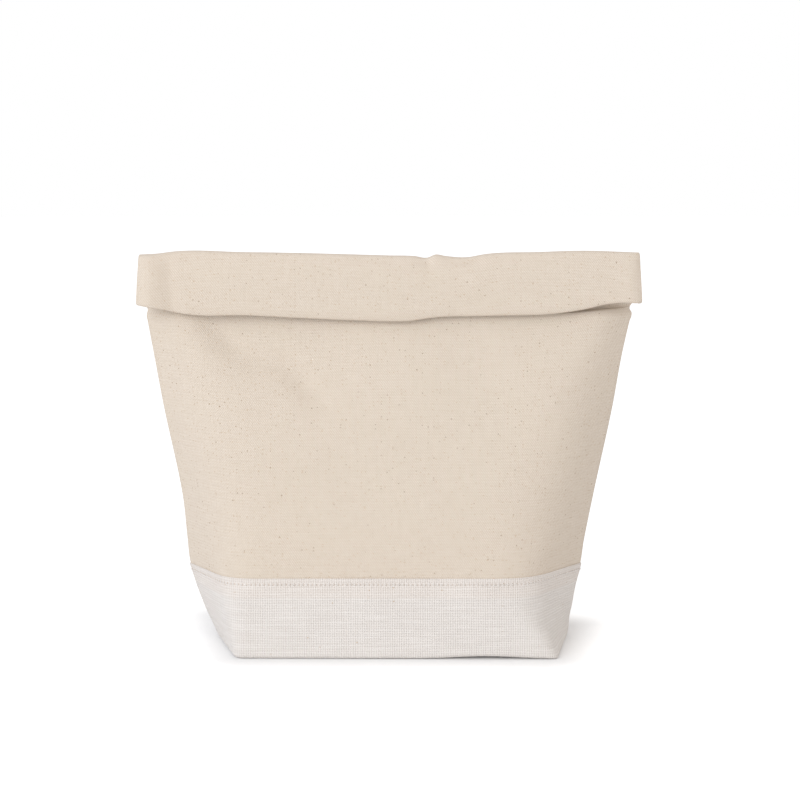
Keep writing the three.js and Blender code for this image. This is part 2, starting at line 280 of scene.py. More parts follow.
def leaf_part(side, root, across):
    """The turned-down end of the canvas. The outer leaf is cut to the line of the lip."""
    outward = np.abs(across.ravel())
    lean_end = LEAN_MIDDLE + (LEAN_END - LEAN_MIDDLE) * ease(LEAN_FROM, 1, outward)
    curl = LIP_CURL * ease(1, CURL_END, outward)
    lip = curve(OUTER_LIP, root[:, 0]) + FLAP_CORNER * ease(CORNER_FROM, 1, outward)
    length = np.full(len(root), LEAF_LENGTH)
    for attempt in range(LEAF_TRIES):
        length = length + (leaf_path(root, length, lean_end, curl)[..., 2].min(axis=0) - lip)
    if side == BACK:
        return leaf_path(root, length, lean_end, curl)
    length = length - INNER_SHORTER * (1 - outward**3)
    lean_end = lean_end + (FLAP_LEAN - LEAN_MIDDLE) * ease(1, INNER_END, outward)
    return leaf_path(root, length, lean_end, curl * 0)


# Hollows and low ridges in the flap, given in the same way as those in the walls.
FLAP_HOLLOWS = [(-147, 206, 40, 13, 92, -2.6), (-139, 206, 40, 7, 93, -1.2), (-128.5, 207, 34, 4, 94, 0.8),
                (-117, 203, 30, 14, 95, 0.7), (19.5, 224, 14, 4, 95, 0.9), (70, 206, 40, 9, 12, 0.5),
                (143, 208, 40, 8, 90, -2.4), (-60, 208, 44, 10, -8, 0.5)]
HOLLOW_REACH = 7 * MM  # from the fold to where the flap's hollows have their full depth
EVEN_COLUMNS = 20  # the grain of the cloth runs even over so many columns each way


def canvas_length(side, across):
    """The whole outer face of one length of canvas, from behind the base cloth to its lip. The hollows of
    the flap are in its outer leaf, and in both leaves by the side seams, where they are sewn together."""
    panel = panel_part(side, across)
    fold = fold_part(side, panel[-1], across)
    turned = np.concatenate([fold, leaf_part(side, fold[-1], across)])
    pressed = hollowed(turned.copy(), FRONT, FLAP_HOLLOWS)
    share = ease(FOLD_Y, FOLD_Y - HOLLOW_REACH, turned[..., 1:2])
    if side == FRONT:
        share = share * ease(SEWN_FROM, SEWN_LEAF, np.abs(across))[..., None]
    return np.concatenate([panel, turned + (pressed - turned) * share])


def flat_places(side, face, across):
    """Where each point of a length of cloth lies on it when it is flat, across and along."""
    steps = np.linalg.norm(np.diff(face, axis=0), axis=-1)
    along = np.concatenate([np.zeros((1, face.shape[1])), np.cumsum(steps, axis=0)])
    window = np.hanning(2 * EVEN_COLUMNS + 1)
    padded = np.pad(along, ((0, 0), (EVEN_COLUMNS, EVEN_COLUMNS)), mode="edge")
    along = np.stack([np.convolve(row, window / window.sum(), mode="valid") for row in padded])
    return np.stack([-side * across * HALF_MOUTH + 0 * along, along + LAP_Z], axis=-1)


def built(name, points, faces):
    """A new smooth piece of these points and faces."""
    mesh = bpy.data.meshes.new(name)
    mesh.from_pydata(points, [], faces)
    mesh.polygons.foreach_set("use_smooth", [True] * len(mesh.polygons))
    piece = bpy.data.objects.new(name, mesh)
    bpy.context.scene.collection.objects.link(piece)
    return piece


RIM = 0.45  # how thick a cut or turned edge stays


def cloth(name, face, out, flat, thick, rims=(1, 1, 1, 1), loop=False):
    """A sheet of cloth: points of its outer face in rows, made thick to the inside. Rims says which of the
    low, high, first and last edges end in a soft rim. The others go on in the next piece, and keep the
    directions of the whole face there, so that the join doesn't show."""
    rows, columns = face.shape[:2]
    edges = [(0, slice(None)), (-1, slice(None)), (slice(None), 0), (slice(None), -1)]
    inset, joined = np.zeros((rows, columns)), np.zeros((rows, columns, 1))
    for edge, rim in zip(edges, rims):
        if not rim:
            joined[edge] = 1
    for edge, rim in zip(edges, rims):
        if rim:
            joined[edge] = 0
            inset[edge] = 1 - RIM
    thick = (thick + np.zeros((rows, columns)))[..., None]
    inset = inset[..., None] * thick / 2
    points = np.concatenate([face - out * inset, face - out * (thick - inset)]).reshape(-1, 3)
    index = np.arange(rows * columns).reshape(rows, columns)
    here, there = (index, np.roll(index, -1, axis=1)) if loop else (index[:, :-1], index[:, 1:])
    back = rows * columns
    quads = [np.stack([here[:-1], there[:-1], there[1:], here[1:]], -1),
             np.stack([here[1:], there[1:], there[:-1], here[:-1]], -1) + back]
    ways = [index[0, ::-1], index[-1], index[:, 0], index[::-1, -1]]
    if loop:
        ways = [np.append(way, way[:1]) for way in ways[:2]]
    for way in ways:
        quads.append(np.stack([way[:-1], way[1:], way[1:] + back, way[:-1] + back], -1))
    piece = built(name, points.tolist(), np.concatenate([quad.reshape(-1, 4) for quad in quads]).tolist())
    places = np.concatenate([flat, 0 * flat[..., :1]], axis=-1).reshape(-1, 3)
    on_flat = piece.data.attributes.new("cloth", "FLOAT_VECTOR", "POINT")
    on_flat.data.foreach_set("vector", np.tile(places, (2, 1)).ravel())
    kept = (out * joined).reshape(-1, 3)
    piece.data.normals_split_custom_set_from_vertices(np.concatenate([kept, -kept]).tolist())
    return piece


class Shade:
    """A value in a material: wraps a socket, so that maths on values reads as maths."""

    def __init__(self, tree, socket=None):
        self.tree = tree
        self.socket = socket

    def node(self, kind, settings=None, inputs=None, out=0):
        made = self.tree.nodes.new("ShaderNode" + kind)
        for name, value in (settings or {}).items():
            setattr(made, name, value)
        for name, value in (inputs or {}).items():
            if isinstance(value, Shade):
                self.tree.links.new(value.socket, made.inputs[name])
            else:
                made.inputs[name].default_value = value
        return Shade(self.tree, made.outputs[out]) if made.outputs else None

    def maths(self, operation, *others):
        return self.node("Math", {"operation": operation}, dict(enumerate((self, *others))))

    def __add__(self, other):
        return self.maths("ADD", other)

    def __sub__(self, other):
        return self.maths("SUBTRACT", other)

    def __rsub__(self, other):
        return self.maths("MULTIPLY_ADD", -1.0, other)

    def __mul__(self, other):
        return self.maths("MULTIPLY", other)

    def __truediv__(self, other):
        return self.maths("DIVIDE", other)

    def __rtruediv__(self, other):
        return self.node("Math", {"operation": "DIVIDE"}, {0: other, 1: self})

    __radd__ = __add__
    __rmul__ = __mul__

    def waves(self, length):
        """Even waves from 0 to 1, one to each length."""
        return (self * (2 * math.pi / length)).maths("SINE") * 0.5 + 0.5

    def step(self, low, high):
        """0 at low, 1 at high, and a smooth step in between."""
        settings = {"interpolation_type": "SMOOTHSTEP"}
        return self.node("MapRange", settings, {"Value": self, "From Min": low, "From Max": high})

    def mix(self, none, full):
        """The colour none where this is 0, full where it is 1."""
        return self.node("Mix", {"data_type": "RGBA"}, {"Factor": self, 6: none, 7: full}, 2)


def on_cloth(name):
    """A new material, with the places across and along the flat cloth of each of its points."""
    material = bpy.data.materials.new(name)
    material.use_nodes = True
    places = Shade(material.node_tree).node("Attribute", {"attribute_name": "cloth"}, out=1)
    return material, [places.node("SeparateXYZ", inputs={"Vector": places}, out=i) for i in range(2)]


def spot(across, along, width, length):
    """The place on the cloth, counted in widths across and lengths along."""
    return across.node("CombineXYZ", inputs={"X": across / width, "Y": along / length})


def noise(across, along, width, length):
    """Soft unevenness in patches of about this width across and length along."""
    return across.node("TexNoise", inputs={"Vector": spot(across, along, width, length), "Scale": 1.0})


def dress(material, colour, roughness, height, relief, sheen):
    """Joins colour, roughness and relief to the material's surface."""
    tree = material.node_tree
    surface = tree.nodes["Principled BSDF"]
    for name, value in {"Sheen Weight": sheen, "Sheen Roughness": 0.6, "Specular IOR Level": 0.12}.items():
        surface.inputs[name].default_value = value
    bumps = height.node("Bump", inputs={"Height": height, "Distance": relief})
    for name, value in {"Base Color": colour, "Roughness": roughness, "Normal": bumps}.items():
        tree.links.new(value.socket, surface.inputs[name])


# Colours of the twill, from painted shade in the hollows of its ribs to painted light on their crests, and of
# its seed flecks; from rib to rib and from weft to weft; and how steep the ribs are.
TWILL_SHADED, TWILL_LIT = (0.665, 0.560, 0.450, 1), (0.870, 0.785, 0.690, 1)
TWILL_BLOTCH = (0.76, 0.67, 0.555, 1)
FLECK_FAINT, FLECK_DARK = (0.52, 0.36, 0.21, 1), (0.30, 0.19, 0.10, 1)
RIB_PITCH, WEFT_PITCH = 1.29 * MM, 1.75 * MM
RIB_FALL = 0.75


def seed_flecks(across, along, patch, size, share):
    """Small specks of seed husk, light and dark ones, in a share of the patches of cloth."""
    sway = noise(across, along, 1.2 * MM, 1.2 * MM) * (0.5 * MM)
    settings = {"voronoi_dimensions": "2D"}
    inputs = {"Vector": spot(across + sway, along - sway, patch, patch * 0.8), "Scale": 1.0}
    near = across.node("TexVoronoi", settings, inputs)
    drawn = across.node("SeparateColor", inputs={"Color": across.node("TexVoronoi", settings, inputs, 1)})
    return (1 - near.step(size / patch * 0.45, size / patch)) * drawn.step(1 - share, 1.0)


def twill(name):
    """Natural cotton twill: fine ribs that fall to the right, broken by the weft, with uneven yarns. Its
    colour is painted shade in the rib hollows and painted light on the crests, over the yarns' own uneven
    tone.
    """
    material, (across, along) = on_cloth(name)
    sway = noise(across, along, 45 * MM, 45 * MM) * (1.1 * MM)
    ribs = (across + along * RIB_FALL + sway).waves(RIB_PITCH)
    weft = (along + sway * 0.4).waves(WEFT_PITCH)
    grain = noise(across, along, 0.8 * MM, 0.8 * MM)
    warp = noise(across, along, 1.2 * MM, 14 * MM)
    pick = noise(across, along, 14 * MM, 1.4 * MM)
    cloudy = noise(across, along, 5 * MM, 5 * MM)
    blotch = noise(across, along, 34 * MM, 28 * MM)
    # Colour follows the same ribs and weft as the height: painted shade and light, with the yarns' random
    # tone.
    tone = ribs * (weft * 0.3 + 0.4) + grain * 0.8 + warp * 0.3 + pick * 0.35 + cloudy * 0.16 - 0.60
    colour = tone.mix(TWILL_SHADED, TWILL_LIT)
    colour = (blotch.step(0.35, 0.75) * 0.3).mix(colour, TWILL_BLOTCH)
    faint = seed_flecks(across + 31 * MM, along - 17 * MM, 2.3 * MM, 0.55 * MM, 0.3)
    colour = (faint * 0.55).mix(colour, FLECK_FAINT)
    dark = seed_flecks(across, along, 3.4 * MM, 0.5 * MM, 0.12)
    colour = (dark * 0.8).mix(colour, FLECK_DARK)
    height = ribs * (weft * 0.3 + 0.5) + grain * 0.6 + warp * 0.3 + pick * 0.3
    dress(material, colour, warp * 0.1 + 0.86, height, 0.16 * MM, 0.05)
    return material


def cut(flat):
    """Width and length of a cloth's flat cut, in metres, from the places of its points."""
    return float(np.ptp(flat[..., 0])), float((flat[-1, :, 1] - flat[0, :, 1]).mean())


def sewn(piece, material, nodes, flat):
    """Gives a cloth its material and hides the CAD pieces it stands for. Flat, the size it was cut to, is not
    used.
    """
    piece.data.materials.append(material)
    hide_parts(*nodes)
    return piece


END_COLUMNS, STRIP_COLUMNS = 8, 2  # by the side seams the cloth of the fold is cut in narrow strips
NECK_JOIN = 3  # rows below the fold's bend where the cloth of the fold joins a wall
LIP_STILL, LIP_FREE = 138 * MM, 55 * MM  # places across where the outer leaf would begin to open; nothing here opens it
COLUMNS, EVEN_END = 191, 0.992  # even columns of points, up to this share of the way to a side seam
SEAM_COLUMN = 0.998  # one more stands close to each seam
BETWEEN = 0.05 * MM  # half the room left between front and back
TURNED_LEAST = 0.2  # a wall that runs straight back counts as turned this much to the front


def part_of(layers, place):
    """The points, directions, flat places and thickness of a part of a cloth."""
    return [layer[place] for layer in layers]


def fold_strips(name, rows, layers):
    """The cloth round the fold, the wide middle first and then narrow strips at both ends, where the bend
    gets tighter or wider."""
    face = layers[0][rows]
    last = face.shape[1] - 1
    cuts = [*range(0, END_COLUMNS + 1, STRIP_COLUMNS), *range(last - END_COLUMNS, last + 1, STRIP_COLUMNS)]
    strips = []
    for low, high in sorted(zip(cuts[:-1], cuts[1:]), key=lambda span: span[0] - span[1]):
        label = f"{name}_end_{len(strips)}" if strips else name
        rims = (0, 0, int(low == 0), int(high == last))
        strip = cloth(label, *part_of(layers, (rows, slice(low, high + 1))), rims)
        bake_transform(strip)
        strips.append(strip)
    return strips


def leaf_halves(columns):
    """The right and the left half of an outer leaf: which way it lies, its columns and its rims."""
    middle = columns // 2
    return ("right", 1, slice(0, middle + 1), (0, 1, 1, 0)), ("left", -1, slice(middle, None), (0, 1, 0, 1))


def lip_blend(piece, way):
    """Bakes half of the outer leaf where it lies; nothing here lets it open. Way is -1 on the left."""
    y, z = joints["mouth_open"]["pos_m"][1:]
    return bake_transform(piece, "flap", "lip", (way * LIP_STILL, y, z), (way * LIP_FREE, y, z))


even_columns = np.linspace(-EVEN_END, EVEN_END, COLUMNS)
across_front = np.array([-1, -SEAM_COLUMN, *even_columns, SEAM_COLUMN, 1])[None, :]
across_back = across_front[:, ::-1]
FOLD_FROM = BODY_ROWS + len(CREASE_ROWS) + NECK_ROWS - 1
FOLD_TO = FOLD_FROM + FOLD_ROWS
MIDDLE = across_front.shape[1] // 2
canvas = twill("natural_twill")


def room(face, out):
    """How thick a cloth can be before it meets the other side of the bag."""
    half = np.abs(face[: FOLD_FROM + 1, :, 1]) - BETWEEN
    panel = half / np.maximum(np.abs(out[: FOLD_FROM + 1, :, 1]), TURNED_LEAST)
    return np.concatenate([panel, np.repeat(half[-1:], len(face) - FOLD_FROM - 1, axis=0)])


def canvas_layers(side, across):
    """The outer face of one length of canvas, its directions and flat places, and the room inside it."""
    face = canvas_length(side, across)
    out = normals(face)
    return face, out, flat_places(side, face, across), room(face, out)


front_face, front_out, front_flat, front_room = canvas_layers(FRONT, across_front)
front_cloth = (front_face, front_out, front_flat, np.minimum(CANVAS_THICK, front_room))
back_face, back_out, back_flat, back_room = canvas_layers(BACK, across_back)
back_cloth = (back_face, back_out, back_flat, np.minimum(CANVAS_THICK, back_room))

PANEL, LEAF = slice(0, FOLD_FROM + 1 - NECK_JOIN), slice(FOLD_TO, None)
FOLD = slice(FOLD_FROM - NECK_JOIN, FOLD_TO + 1)

for node, layers, flat in (("front_panel", front_cloth, front_flat), ("back_panel", back_cloth, back_flat)):
    panel = cloth(f"{node}_twill", *part_of(layers, PANEL), (1, 0, 1, 1))
    sewn(panel, canvas, [node], cut(flat[PANEL]))
    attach(panel, "bag")

back_fold = fold_strips("fold_twill_back", FOLD, back_cloth)
for strip in back_fold[1:]:
    sewn(strip, canvas, ["fold_canvas"], None)
fold_cut = cut(back_flat[FOLD, END_COLUMNS:-END_COLUMNS])
sewn(back_fold[0], canvas, ["fold_canvas"], fold_cut)
front_fold = fold_strips("fold_twill_front", FOLD, front_cloth)
for strip in front_fold:
    sewn(strip, canvas, ["fold_canvas"], None)

inner = cloth("inner_leaf_twill", *part_of(front_cloth, LEAF), (0, 1, 1, 1))
sewn(inner, canvas, ["inner_leaf"], cut(front_flat[LEAF]))
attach(inner, "flap")
for hand, way, half, rims in leaf_halves(back_face.shape[1]):
    outer = cloth(f"outer_leaf_twill_{hand}", *part_of(back_cloth, (LEAF, half)), rims)
    sewn(outer, canvas, ["outer_leaf"], cut(back_flat[LEAF, half]))
    lip_blend(outer, way)


# Base cloth: one piece of white, coarse, open plain weave, front wall, floor and back wall in one, with boxed
# corners. Its folded top edge laps over the canvas, whose allowance shows through as a warmer strip.
BAND_OVER = 0.6 * MM  # its top edge stands this much higher than that of the solid it replaces
BAND_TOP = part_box("base_cloth")[1].z + BAND_OVER
BAND_RISE = 1.6 * MM  # the top edge stands higher between the side seams
BASE_THICK = 1.0 * MM
BASE_EDGE = 0.6 * MM  # pressed thin where it laps over the canvas
THIN_FROM = 4 * MM  # down from the canvas's edge
LAP = BAND_TOP - LAP_Z
LAP_DOWN, LAP_UP = 3 * MM, 1.5 * MM  # the cloth steps out over the canvas's edge from here to there
OVER_CANVAS = 0.7 * MM  # outer face of the base cloth over the canvas
OVER_LINING = 0.6 * MM  # the same below the lap
SEAM_FADE = 10 * MM  # the side seams fade away under the lap
BASE_WAVE_HIGH, BASE_WAVE_LONG, BASE_WAVE_SEED = 0.45 * MM, 38 * MM, 11
BASE_WAVE_SLANT = 1.6  # the waves follow each other closer up the walls than across
BASE_WAVE_END = 12 * MM  # from the floor and from the top edge
FLOOR_ROUND = 2.6 * MM
FLOOR_SPINE = 46 * MM
FLOOR_LIFT = 1.5 * MM  # the front edge stands off the floor here
LIFT_AT, LIFT_REACH, LIFT_HIGH = 54 * MM, 24 * MM, 14 * MM
UNEVEN_HIGH, UNEVEN_LONG, UNEVEN_SEED = 0.1 * MM, 60 * MM, 5  # the underside
UNEVEN_END = 6 * MM
FLOOR_LOOPS, CORNER_LOOPS, BASE_WALL_ROWS = 16, 6, 30
EDGE_ROWS = np.array([0.8, 0.3, 0]) * MM  # close rows of points down from the top edge
STITCH_Z = BAND_TOP - 3.5 * MM
STITCH_PITCH = 2.5 * MM
STITCH_DRAW, STITCH_REACH = 0.15 * MM, 0.8 * MM  # how far the thread draws the cloth in, and how near to it

# Colours of the plain weave, of the cloth behind its pinholes, darkened as painted shade, of the lap, of the
# painted shade in the needle's dimples, and from yarn to yarn.
WEAVE_DARK, WEAVE_LIGHT = (0.80, 0.75, 0.705, 1), (0.915, 0.88, 0.845, 1)
HOLE_SHADE_LINING, HOLE_SHADE_CANVAS = (0.60, 0.55, 0.51, 1), (0.66, 0.56, 0.48, 1)
LAP_TINT = (0.88, 0.74, 0.64, 1)
WEAVE_FLECK = (0.56, 0.40, 0.24, 1)
DIMPLE_SHADE = (0.70, 0.53, 0.39, 1)
YARN_UP, YARN_OVER = 1.33 * MM, 1.5 * MM


def around(height):
    """Loops of points right round the bag, anticlockwise from above and from the left seam."""
    steps = np.linspace(-1, 1, COLUMNS, endpoint=False)[None, :]
    height = height * (1 + BAND_RISE / BAND_TOP * (1 - steps**4))
    return np.concatenate([wall(FRONT, steps, height), wall(BACK, -steps, height)], axis=1)


def base_face():
    """The outer face of the base cloth: from the middle of the floor out to its edge, and up the walls."""
    angles = np.linspace(0, math.pi / 2, CORNER_LOOPS, endpoint=False)
    walls = np.linspace(FLOOR_ROUND, BAND_TOP - ROW_CLEAR, BASE_WALL_ROWS)
    rim = BAND_TOP - EDGE_ROWS
    height = np.concatenate([FLOOR_ROUND * (1 - np.cos(angles)), walls, rim])[:, None]
    loops = around(height)
    under = FLOOR_ROUND * np.concatenate([1 - np.sin(angles), 0 * walls, 0 * rim])[:, None]
    lapped = ease(LAP_Z - LAP_DOWN, LAP_Z + LAP_UP, height)
    drawn = STITCH_DRAW * np.exp(-(((height - STITCH_Z) / STITCH_REACH) ** 2))
    proud = OVER_LINING + (OVER_CANVAS - OVER_LINING) * lapped - drawn
    slanting = loops[..., 2] * BASE_WAVE_SLANT + loops[..., 1]
    waves = BASE_WAVE_HIGH * ripple(loops[..., 0], slanting, BASE_WAVE_LONG, BASE_WAVE_SEED)
    waves = waves * ease(0, BASE_WAVE_END, height) * ease(BAND_TOP, BAND_TOP - BASE_WAVE_END, height)
    seam = SEAM_GROOVE * np.exp(-((loops[..., 1] / SEAM_REACH) ** 2)) * ease(LAP_Z, LAP_Z - SEAM_FADE, height)
    out = normals(loops, loop=True)
    out[..., 2] = 0
    loops = loops + out * (proud + waves - under - seam)[..., None]
    lift = FLOOR_LIFT * np.exp(-(((loops[..., 0] - LIFT_AT) / LIFT_REACH) ** 2)) * (loops[..., 1] < 0)
    loops[..., 2] += lift * ease(LIFT_HIGH, 0, height)
    uneven = UNEVEN_HIGH * (1 + ripple(loops[..., 0], loops[..., 1], UNEVEN_LONG, UNEVEN_SEED))
    loops[..., 2] += uneven * ease(UNEVEN_END, 0, height)
    spine = loops[0] * [0, 0, 1]
    spine[:, 0] = np.clip(loops[0][:, 0], -FLOOR_SPINE, FLOOR_SPINE)
    shares = np.linspace(0, 1, FLOOR_LOOPS, endpoint=False)[:, None, None]
    return np.concatenate([spine + (loops[0] - spine) * shares, loops])


def plain_weave(name, edge):
    """White open plain weave: thick and thin yarns both ways, with pinholes between them that show the cloth
    behind, darkened as painted shade. The tucked canvas gives the lap a warmer tone, and the needle leaves
    small dimples under the top edge, with painted shade in them."""
    material, (across, along) = on_cloth(name)
    slub_up = noise(across, along, 1.4 * MM, 30 * MM)
    slub_over = noise(across, along, 24 * MM, 1.5 * MM)
    sway = noise(across, along, 40 * MM, 40 * MM) * (0.9 * MM)
    grain = noise(across, along, 0.7 * MM, 0.7 * MM)
    up = (across + sway).waves(YARN_UP)
    over = (along - sway).waves(YARN_OVER)
    thick = slub_over.step(0.55, 0.68)
    hole = ((1 - up) * (1 - over * 0.74) + grain * 0.5 - slub_over * 0.4 - thick * 0.1).step(0.27, 0.88)
    below = edge - along
    lapped = 1 - below.step(LAP - 0.8 * MM, LAP + 1.0 * MM)
    yarns = slub_up * 0.5 + slub_over * 0.7 + thick * 0.09 + up * 0.08 + grain * 0.3 - 0.33
    colour = yarns.mix(WEAVE_DARK, WEAVE_LIGHT)
    colour = (lapped * 0.12).mix(colour, LAP_TINT)
    # Painted shade: the pinholes show the lining below the lap and the canvas in it, darker than those are.
    colour = (hole * 0.35).mix(colour, lapped.mix(HOLE_SHADE_LINING, HOLE_SHADE_CANVAS))
    flecks = seed_flecks(across, along, 7 * MM, 0.6 * MM, 0.16)
    colour = (flecks * 0.75).mix(colour, WEAVE_FLECK)
    # Painted shade: tan dots in the needle's dimples along the stitch row.
    needle = across.waves(STITCH_PITCH).step(0.62, 0.95)
    row = 1 - (below - (BAND_TOP - STITCH_Z)).maths("ABSOLUTE").step(0.35 * MM, 0.75 * MM)
    colour = (needle * row * 0.55).mix(colour, DIMPLE_SHADE)
    bumps = up * 0.4 + over * 0.1 + slub_up * 0.4 + slub_over * 0.4 - hole * 0.5 - needle * row * 0.5
    dress(material, colour, slub_over * 0.1 + 0.86, bumps, 0.3 * MM, 0.05)
    return material


def base_flat_places(face):
    """Where each point of the base cloth lies on it when it is flat, across from the middle and along."""
    rises = np.linalg.norm(np.diff(face, axis=0), axis=-1).mean(axis=1)
    along = np.concatenate([[0], np.cumsum(rises)])[:, None]
    halves = []
    for half, way in ((face[:, :COLUMNS], 1), (face[:, COLUMNS:], -1)):
        far = np.linalg.norm(np.diff(half, axis=1), axis=-1).cumsum(axis=1)
        far = np.concatenate([0 * far[:, :1], far], axis=1)
        middle = [np.interp(0, places[::way], row[::way]) for places, row in zip(half[..., 0], far)]
        halves.append(way * (far - np.array(middle)[:, None]))
    return np.stack(np.broadcast_arrays(np.concatenate(halves, axis=1), along), axis=-1)


base_outside = base_face()
base_out = normals(base_outside, loop=True)
base_flat = base_flat_places(base_outside)
base_thick = BASE_THICK + (BASE_EDGE - BASE_THICK) * ease(LAP_Z - THIN_FROM, LAP_Z, base_outside[..., 2])
base = cloth("base_cloth_weave", base_outside, base_out, base_flat, base_thick, (0, 1, 0, 0), loop=True)
base_cut = (2 * HALF_MOUTH, 2 * BAND_TOP + 2 * curve(DEPTH_LEFT, 0))
weave = plain_weave("white_plain_weave", base_flat[-1, 0, 1])
sewn(base, weave, ["base_cloth"], base_cut)
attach(base, "bag")


# Topstitching: one row of white sewing thread through the folded edge of the base cloth and the canvas. Each
# stitch is a short arched piece of thread that dips into the cloth at both ends.
THREAD_RADIUS = 0.32 * MM
STITCH_LONG = 1.75 * MM
STITCH_ARCH, STITCH_DIP = 1.1, 6  # how high its middle stands and how its ends dip, in radii of the thread
STITCH_END = 0.08  # share of the thread's section that is left at its two ends
STITCH_ROWS = np.array([-0.5, 0, 0.5]) * MM  # rows of points that give the way the cloth faces there
STITCH_RINGS, STITCH_SIDES = 7, 6  # points along each stitch and round it
THREAD_DARK, THREAD_LIGHT = (0.74, 0.69, 0.65, 1), (0.86, 0.83, 0.80, 1)


def stitches(name, ring, out):
    """A closed row of stitches along a ring of points on a cloth that faces out."""
    ring, out = np.append(ring, ring[:1], axis=0), np.append(out, out[:1], axis=0)
    far = np.append(0, np.cumsum(np.linalg.norm(np.diff(ring, axis=0), axis=1)))
    count = int(far[-1] / STITCH_PITCH)
    spans = np.linspace(-0.5, 0.5, STITCH_RINGS)
    turns = np.linspace(0, 2 * math.pi, STITCH_SIDES, endpoint=False)
    arch = THREAD_RADIUS * (STITCH_ARCH - STITCH_DIP * spans**2)
    wide = THREAD_RADIUS * np.sqrt(np.maximum(STITCH_END, 1 - (2 * spans) ** 4))
    sides = [(k, (k + 1) % STITCH_SIDES) for k in range(STITCH_SIDES)]
    points, faces = [], []
    for i in range(count):
        places = (i + 0.5) * far[-1] / count + spans * STITCH_LONG
        line = np.stack([np.interp(places, far, ring[:, k]) for k in range(3)], axis=1)
        facing = np.stack([np.interp(places, far, out[:, k]) for k in range(3)], axis=1)
        beside = np.cross(facing, np.gradient(line, axis=0))
        beside = beside / np.linalg.norm(beside, axis=1, keepdims=True)
        line = line + facing * arch[:, None]
        first = len(points)
        for at, up, over, size in zip(line, facing, beside, wide):
            points += [tuple(at + size * (math.cos(t) * up + math.sin(t) * over)) for t in turns]
        last = len(points) - STITCH_SIDES
        for low in range(first, last, STITCH_SIDES):
            high = low + STITCH_SIDES
            faces += [(low + a, low + b, high + b, high + a) for a, b in sides]
        faces.append(tuple(range(first + STITCH_SIDES - 1, first - 1, -1)))
        faces.append(tuple(range(last, last + STITCH_SIDES)))
    return built(name, points, faces)


def spun_thread(name):
    """Spun cotton thread, a little fuzzy."""
    material = bpy.data.materials.new(name)
    material.use_nodes = True
    place = Shade(material.node_tree).node("TexCoord", out="Object")
    fuzz = place.node("TexNoise", inputs={"Vector": place, "Scale": 2600.0, "Detail": 3.0})
    colour = fuzz.mix(THREAD_DARK, THREAD_LIGHT)
    dress(material, colour, fuzz * 0.2 + 0.7, fuzz, 0.05 * MM, 0.1)
    return material


white_thread = spun_thread("white_thread")
stitch_rows = around(STITCH_Z + STITCH_ROWS[:, None])
stitch_out = normals(stitch_rows, loop=True)[1]
stitch_line = stitch_rows[1] + stitch_out * (OVER_CANVAS - STITCH_DRAW)
thread = stitches("topstitching_thread", stitch_line, stitch_out)
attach(sewn(thread, white_thread, ["topstitching"], None), "bag")


# Lining: pale, fine plain cotton, hung loose inside the canvas and sewn along the floor. It goes on over the
# fold and behind both leaves, and is caught in the side seams and the lips.
LINING_THICK = 0.5 * MM
LINING_SLACK = 0.3 * MM
LINING_FLOOR = 2.2 * MM
LINING_ROUND = 9 * MM
LINING_LOW = 3.2 * MM  # how far inside the base cloth it stands
LINING_LEAN = 30 * MM  # height over the lap from which it lies close to the canvas
DEEP_SHARE, LOW_SHARE, THIN_SHARE = 0.7, 0.1, 0.25  # shares of the room, where the bag is narrow
SIDE_SHARE, SIDE_LEAST = 0.8, 0.4 * MM  # by the side seams: a share of the depth, and a little more
FLOOR_SEAM = (0.97, 0.02, 1)  # the seam along the floor, as shares of the floor's edge
LINING_YARN = 0.5 * MM
LINING_SHADED, LINING_LIGHT = (0.66, 0.61, 0.55, 1), (0.80, 0.76, 0.71, 1)
LINING_CORNER_ROWS, LINING_WALL_ROWS, LINING_FLOOR_ROWS = 7, 9, 8
LIP_ROWS, SEAM_TRIM = ROLL_ROWS + 2, slice(2, -2)  # it stops short of the lips and the side seams


def fine_cotton(name):
    """Pale plain cotton with a close, even weave. Its colour is darker between the yarns, as painted shade,
    and cloudy at random.
    """
    material, (across, along) = on_cloth(name)
    weave = across.waves(LINING_YARN) * 0.5 + along.waves(LINING_YARN) * 0.5
    cloudy = noise(across, along, 14 * MM, 22 * MM)
    # Painted shade between the yarns, and random cloudy tone.
    colour = (weave * 0.5 + cloudy * 0.5).mix(LINING_SHADED, LINING_LIGHT)
    dress(material, colour, cloudy * 0.1 + 0.85, weave, 0.08 * MM, 0.1)
    return material


def lining_floor(side, across):
    """Half of the lining's floor and the lower wall, from the floor seam out and up to the lap."""
    turn = np.linspace(0, math.pi / 2, LINING_CORNER_ROWS, endpoint=False)[:, None]
    up = np.linspace(LINING_FLOOR + LINING_ROUND, LAP_Z, LINING_WALL_ROWS, endpoint=False)[:, None]
    height = np.concatenate([LINING_FLOOR + LINING_ROUND * (1 - np.cos(turn)), up])
    walls = wall(side, across, height)
    out = normals(walls)
    out[..., 2] = 0
    under = LINING_ROUND * np.concatenate([1 - np.sin(turn), 0 * up])
    inward = np.minimum(LINING_LOW + under, np.abs(walls[..., 1]) * SIDE_SHARE + SIDE_LEAST)
    rows = walls - out * inward[..., None]
    seam = rows[0] * FLOOR_SEAM
    shares = np.linspace(0, 1, LINING_FLOOR_ROWS, endpoint=False)[:, None, None]
    return np.concatenate([seam + (rows[0] - seam) * shares, rows])


def lining_length(side, face, out, space, across):
    """The lining of one side, from the floor seam to its lip, just inside the canvas."""
    depth = np.minimum(CANVAS_THICK + LINING_SLACK, space * DEEP_SHARE)
    low = np.minimum(LINING_LOW - CANVAS_THICK - LINING_SLACK, space * LOW_SHARE)
    depth = depth + low * ease(LAP_Z + LINING_LEAN, LAP_Z, face[..., 2])
    return np.concatenate([lining_floor(side, across), face - out * depth[..., None]])


